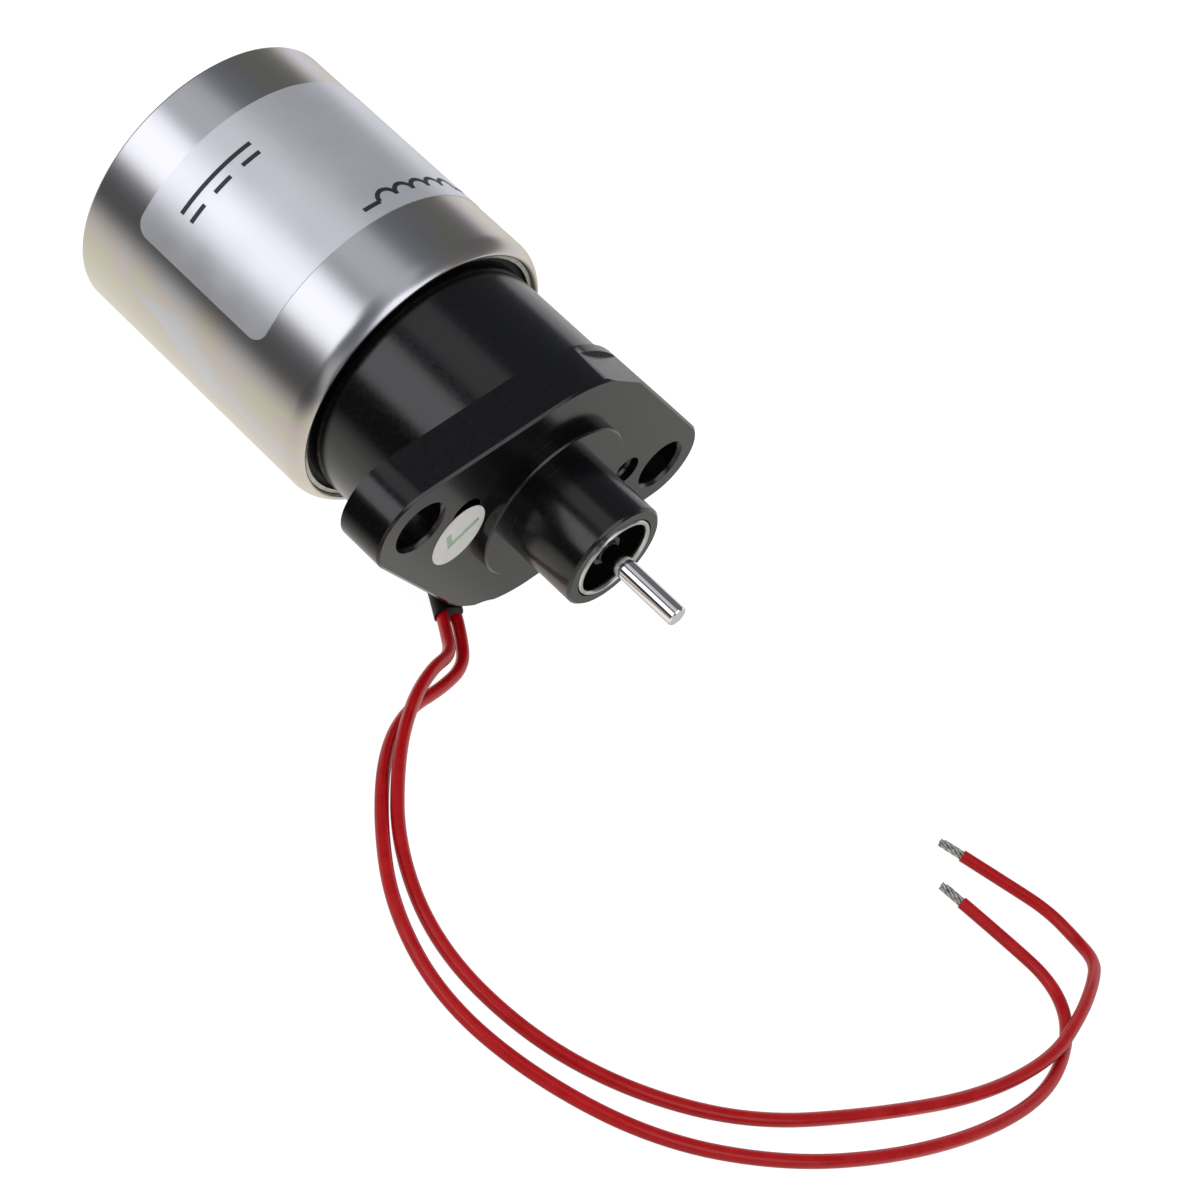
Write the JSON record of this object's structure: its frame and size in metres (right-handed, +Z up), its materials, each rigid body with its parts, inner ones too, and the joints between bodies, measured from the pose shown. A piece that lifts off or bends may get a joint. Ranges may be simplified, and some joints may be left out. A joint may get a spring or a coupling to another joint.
{
  "type": "fuel shut-off solenoid",
  "caption": "Flange-mounted fuel shut-off solenoid: plated can, black body with pilot and nose, spring-returned push pin and free leads.",
  "frame": {"origin": "centre of the two-bolt flange's mounting face, on the push pin's axis", "axes": "+X along the push pin towards its tip, +Y along the line of the bolt holes, +Z up as it lies on a bench"},
  "size_m": [0.1902, 0.1215, 0.0501],
  "materials": {
    "zinc_plated_can": "bright zinc plate on drawn steel, faint rainbow tint",
    "foil_label": "silver-grey foil label",
    "black_anodised": "black satin anodised aluminium",
    "packing_rubber": "black rubber",
    "plated_ring": "plated steel",
    "pole_steel": "soft iron, plated",
    "plunger_steel": "ground and nickel plated",
    "polished_pin": "hard chromed, polished",
    "seal_rubber": "black nitrile rubber",
    "spring_steel": "spring wire",
    "brass": "plain brass",
    "bronze": "sintered bronze",
    "bobbin_nylon": "natural glass-filled nylon",
    "enamelled_copper": "enamelled copper wire",
    "coil_tape": "polyester tape",
    "bright_ring": "bright steel",
    "shrink_sleeve": "black heat-shrink sleeve",
    "potting": "black epoxy",
    "tinned_copper": "tinned copper strands",
    "red_insulation": "red PVC insulation"
  },
  "bodies": {
    "housing": {"can": "zinc_plated_can", "label": "foil_label", "body": "black_anodised", "body_packing": "packing_rubber", "packing_ring": "plated_ring", "front_pole": "pole_steel", "rear_pole": "pole_steel", "fixed_core": "pole_steel", "stop_bumper": "seal_rubber", "return_spring": "spring_steel", "residual_shim": "brass", "guide_tube": "brass", "nose_bush": "bronze", "bobbin": "bobbin_nylon", "winding": "enamelled_copper", "winding_tape": "coil_tape", "seal_case": "bright_ring", "seal_lip": "seal_rubber", "lead_sleeve": "shrink_sleeve", "lead_potting": "potting", "lead_splices": "tinned_copper", "lead_a": "red_insulation", "lead_b": "red_insulation", "lead_a_end": "tinned_copper", "lead_b_end": "tinned_copper"},
    "plunger_and_pin": {"plunger": "plunger_steel", "push_pin": "polished_pin", "stop_washer": "plated_ring"}
  },
  "joints": [
    {"name": "pin_slide", "type": "slide", "parent": "housing", "child": "plunger_and_pin", "axis": [1, 0, 0], "range_m": [-0.01, 0], "stiffness_N_per_m": 400, "springref_m": 0.025, "deforming": ["return_spring"]}
  ]
}
